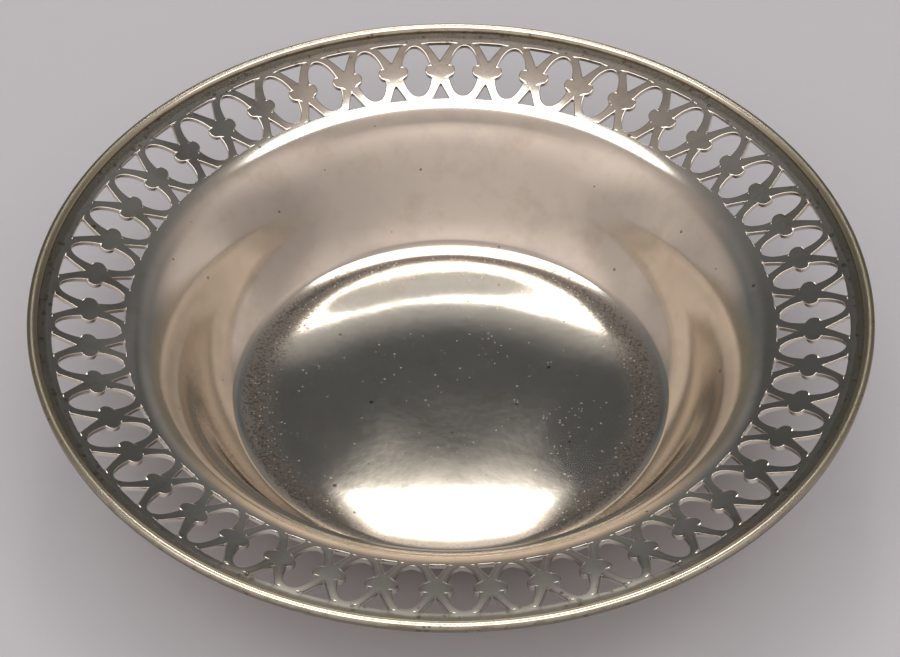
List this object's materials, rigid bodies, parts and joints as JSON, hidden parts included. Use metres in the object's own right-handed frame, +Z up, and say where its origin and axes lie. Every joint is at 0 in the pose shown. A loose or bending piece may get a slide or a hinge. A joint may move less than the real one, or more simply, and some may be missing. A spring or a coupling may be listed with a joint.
{
  "type": "bonbon bowl",
  "caption": "Round silver bonbon bowl: dished well, sloping wall and a wide pierced flange of ovals and knops, with a half-round rim wire and a low foot ring.",
  "frame": {"origin": "centre of the foot ring's lower face, on the surface that the bowl stands on", "axes": "+Z up along the bowl's axis, +X to the right and +Y away from the viewer in the picture's view"},
  "size_m": [0.152, 0.152, 0.03],
  "materials": {
    "bowl_silver": "polished silver with light tarnish and fine scratches",
    "rim_wire_silver": "polished silver, worn bright on the crown and tarnished in the groove",
    "foot_ring_silver": "polished silver, worn dull where it stands"
  },
  "bodies": {
    "root": {"bowl": "bowl_silver", "rim_wire": "rim_wire_silver", "foot_ring": "foot_ring_silver"}
  },
  "joints": []
}
